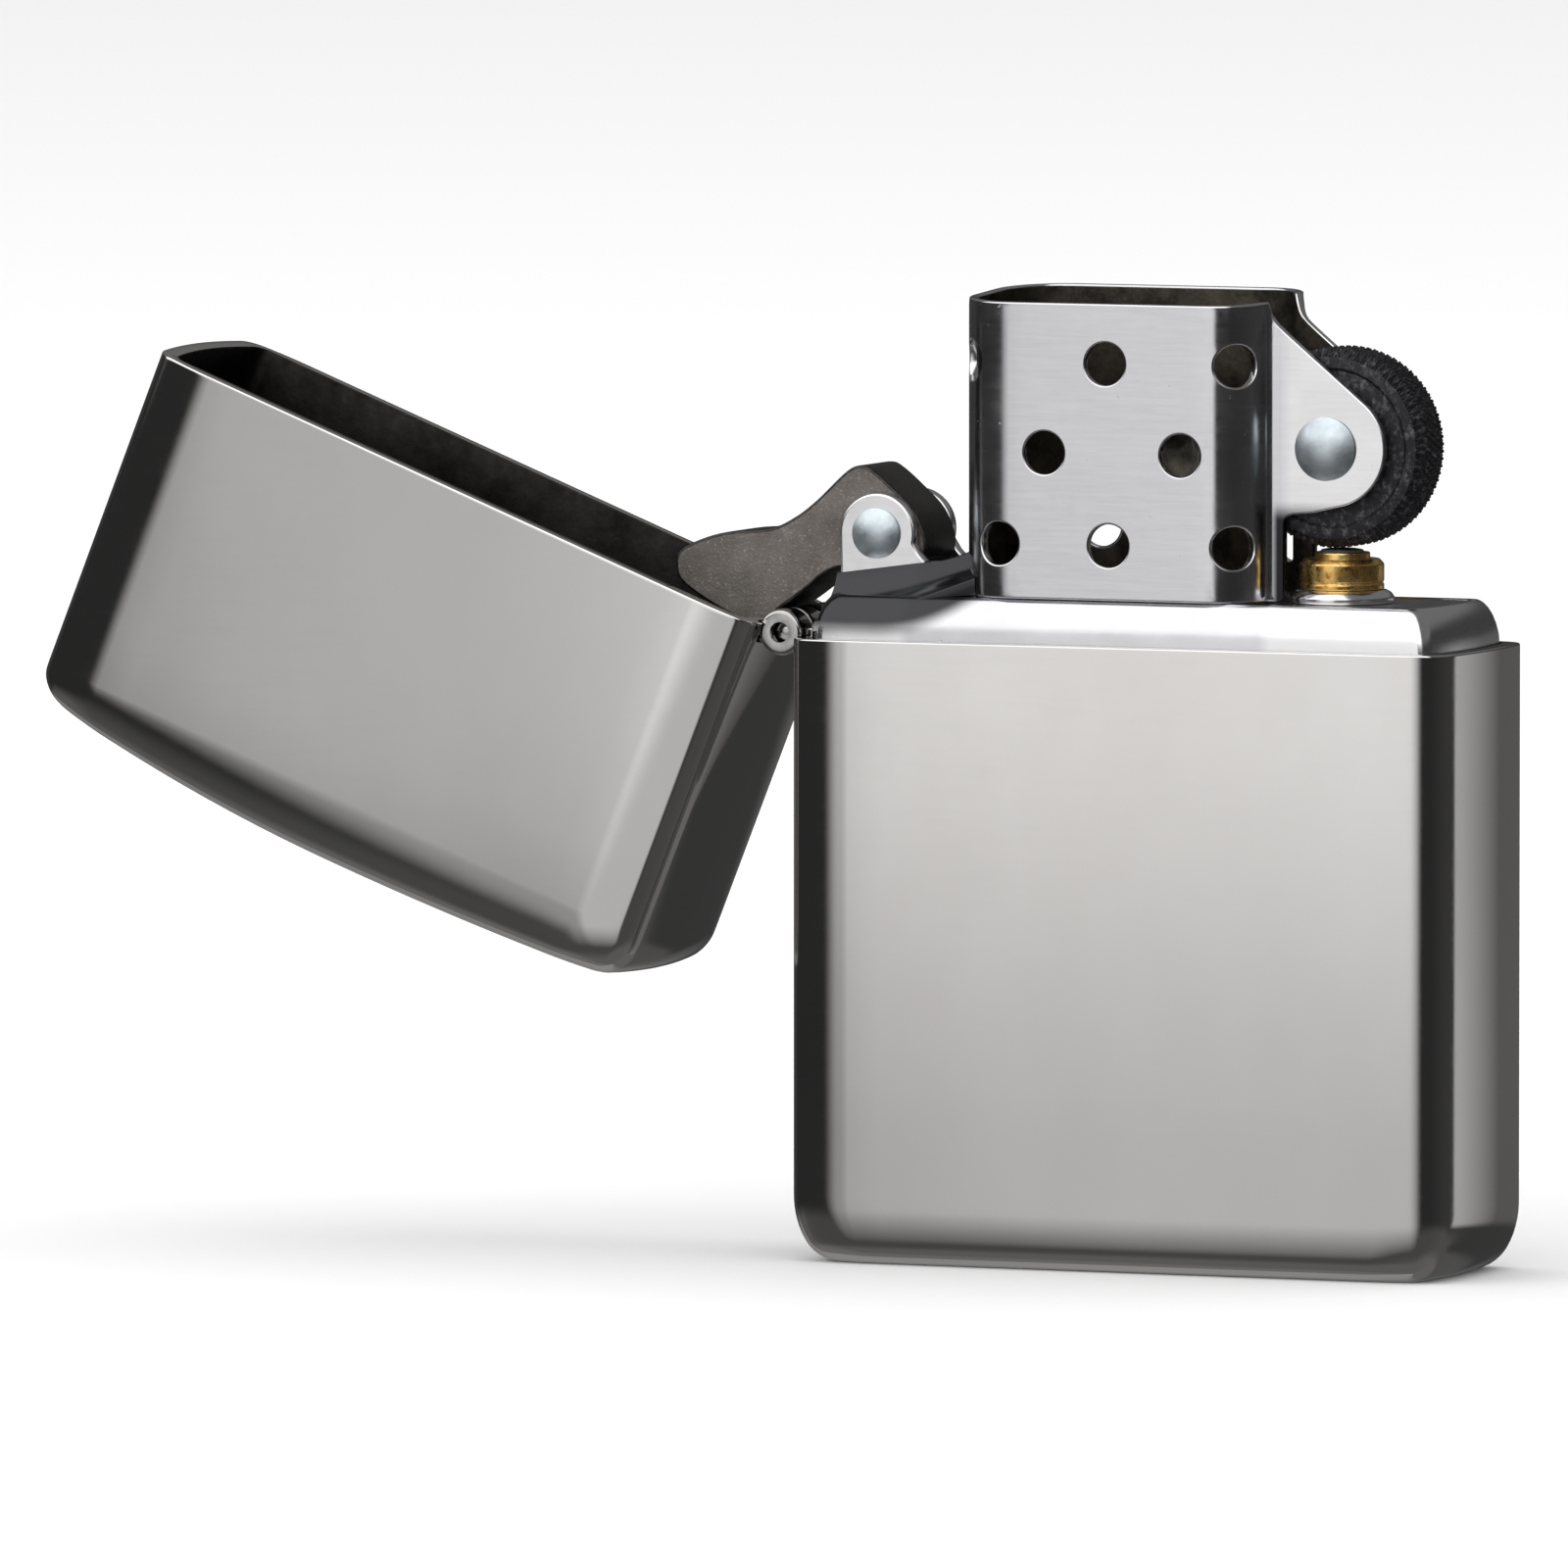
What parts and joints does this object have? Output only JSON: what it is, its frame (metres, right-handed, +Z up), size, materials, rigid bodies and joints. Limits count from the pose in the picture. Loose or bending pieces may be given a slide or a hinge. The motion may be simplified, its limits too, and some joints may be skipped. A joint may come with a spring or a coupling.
{
  "type": "pocket lighter",
  "caption": "Flip-top windproof petrol lighter with a hinged lid, a perforated chimney, a striker wheel and a removable insert.",
  "frame": {"origin": "centre of the flat base of the bottom case", "axes": "+X away from the hinge along the length, +Y to the back, +Z up; the front face looks along -Y"},
  "size_m": [0.0821, 0.0132, 0.0523],
  "materials": {
    "polished_case": "mirror-polished dark nickel plate",
    "bright_steel": "satin stainless sheet with fine handling scratches",
    "rivet_steel": "bright domed rivet",
    "dark_cast": "matt grainy sintered steel",
    "file_steel": "blackened file-cut steel, dusty with flint",
    "spring_steel": "plain bright spring steel",
    "brass": "turned brass, stained by heat",
    "flint": "dull pressed flint",
    "wick": "braided cotton, charred at the top",
    "cotton": "loose cotton wadding",
    "felt": "pressed felt"
  },
  "bodies": {
    "case": {"case_bottom": "polished_case", "hinge_leaf_case": "spring_steel", "hinge_pin": "spring_steel"},
    "lid": {"case_lid": "polished_case", "hinge_leaf_lid": "spring_steel"},
    "insert": {"insert_tank": "bright_steel", "chimney": "bright_steel", "wheel_rivet": "rivet_steel", "cam_rivet": "rivet_steel", "cam_spring": "spring_steel", "flint_tube": "brass", "flint_tube_collar": "brass", "flint_tube_washer": "bright_steel", "flint_spring": "spring_steel", "flint_screw": "brass", "packing_1": "cotton", "packing_2": "cotton", "packing_3": "cotton", "packing_4": "cotton", "packing_5": "cotton", "felt_pad": "felt"},
    "cam": {"cam_lever": "dark_cast"},
    "wheel": {"striker_wheel": "file_steel"},
    "flint": {"flint": "flint", "flint_plunger": "brass"},
    "wick": {"wick": "wick"}
  },
  "joints": [
    {"name": "lid_hinge", "type": "hinge", "parent": "case", "child": "lid", "pos_m": [-0.01985, 0, 0.0337], "axis": [0, -1, 0], "range_deg": [-158.2, 0]},
    {"name": "cam_pivot", "type": "hinge", "parent": "insert", "child": "cam", "pos_m": [-0.0149, 0, 0.03905], "axis": [0, -1, 0], "range_deg": [-107, 0]},
    {"name": "wheel_spin", "type": "hinge", "parent": "insert", "child": "wheel", "pos_m": [0.01065, 0, 0.0441], "axis": [0, 1, 0], "continuous": true},
    {"name": "insert_slide", "type": "slide", "parent": "case", "child": "insert", "axis": [0, 0, 1], "range_m": [0, 0.045]},
    {"name": "flint_feed", "type": "slide", "parent": "insert", "child": "flint", "axis": [0, 0, 1], "range_m": [-0.001, 0], "stiffness_N_per_m": 300, "springref_m": 0.005, "deforming": ["flint_spring"]},
    {"name": "wick_pull", "type": "slide", "parent": "insert", "child": "wick", "axis": [0, 0, 1], "range_m": [0, 0.003]}
  ],
  "couplings": [
    {"joint": "cam_pivot", "follows": "lid_hinge", "ratio": 0.67}
  ]
}
